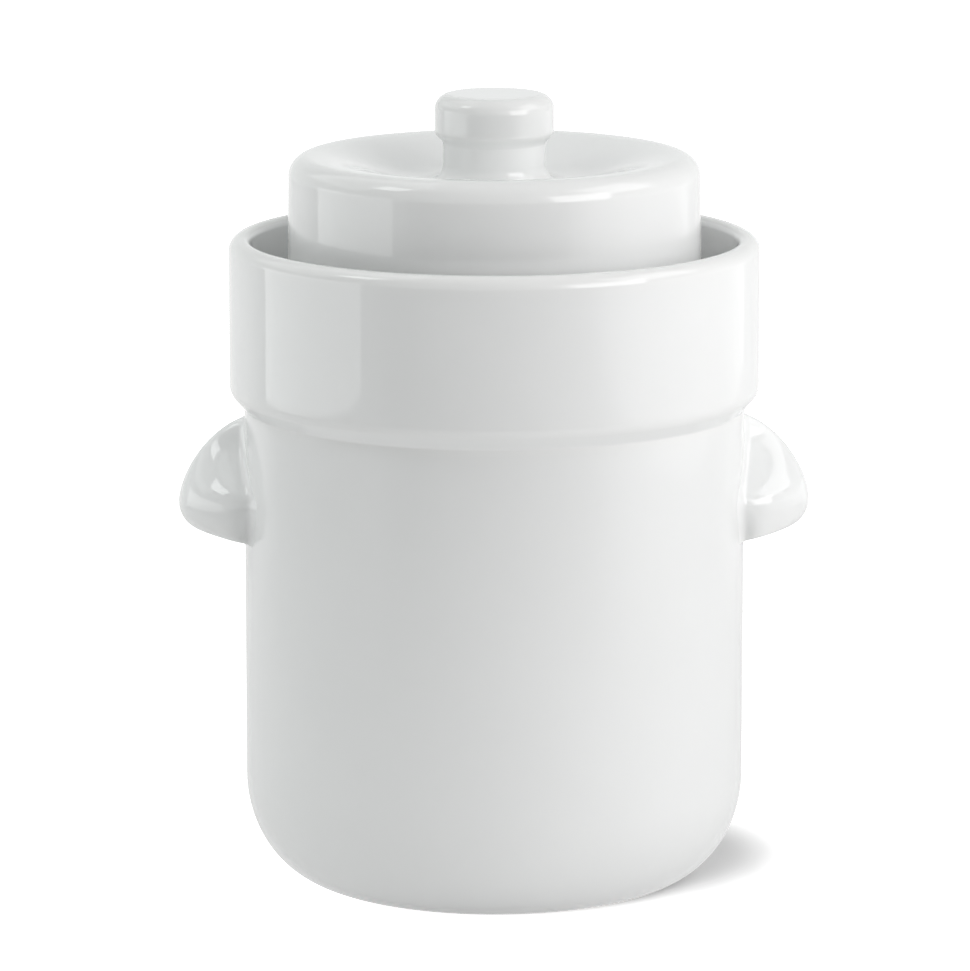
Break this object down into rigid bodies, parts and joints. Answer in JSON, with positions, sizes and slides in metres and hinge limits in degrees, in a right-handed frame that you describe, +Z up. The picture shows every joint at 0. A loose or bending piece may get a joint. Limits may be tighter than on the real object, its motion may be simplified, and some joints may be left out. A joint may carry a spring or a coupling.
{
  "type": "fermentation crock",
  "caption": "White glazed stoneware crock with a water gutter round its mouth, a dished lid whose skirt dips into the gutter, a stout knob, lug handles and half-round weight stones.",
  "frame": {"origin": "centre of the foot, on the table", "axes": "+Z up along the axis of the pot, +X towards the right handle, -Y towards the viewer"},
  "size_m": [0.2438, 0.204, 0.306],
  "materials": {
    "crock_glaze": "glossy white glaze over stoneware, with a bare foot ring",
    "lid_glaze": "glossy white glaze over stoneware, with a bare skirt rim",
    "bare_stoneware": "unglazed cream stoneware, matt"
  },
  "bodies": {
    "crock": {"crock_pot": "crock_glaze", "water_collar": "crock_glaze", "left_handle": "crock_glaze", "right_handle": "crock_glaze"},
    "lid": {"lid": "lid_glaze", "lid_knob": "lid_glaze"},
    "left_stone": {"left_weight_stone": "bare_stoneware"},
    "right_stone": {"right_weight_stone": "bare_stoneware"}
  },
  "joints": [
    {"name": "lid_lift", "type": "slide", "parent": "crock", "child": "lid", "axis": [0, 0, 1], "range_m": [0, 0.1]},
    {"name": "left_stone_lift", "type": "slide", "parent": "crock", "child": "left_stone", "axis": [0, 0, 1], "range_m": [0, 0.13]},
    {"name": "right_stone_lift", "type": "slide", "parent": "crock", "child": "right_stone", "axis": [0, 0, 1], "range_m": [0, 0.13]}
  ]
}
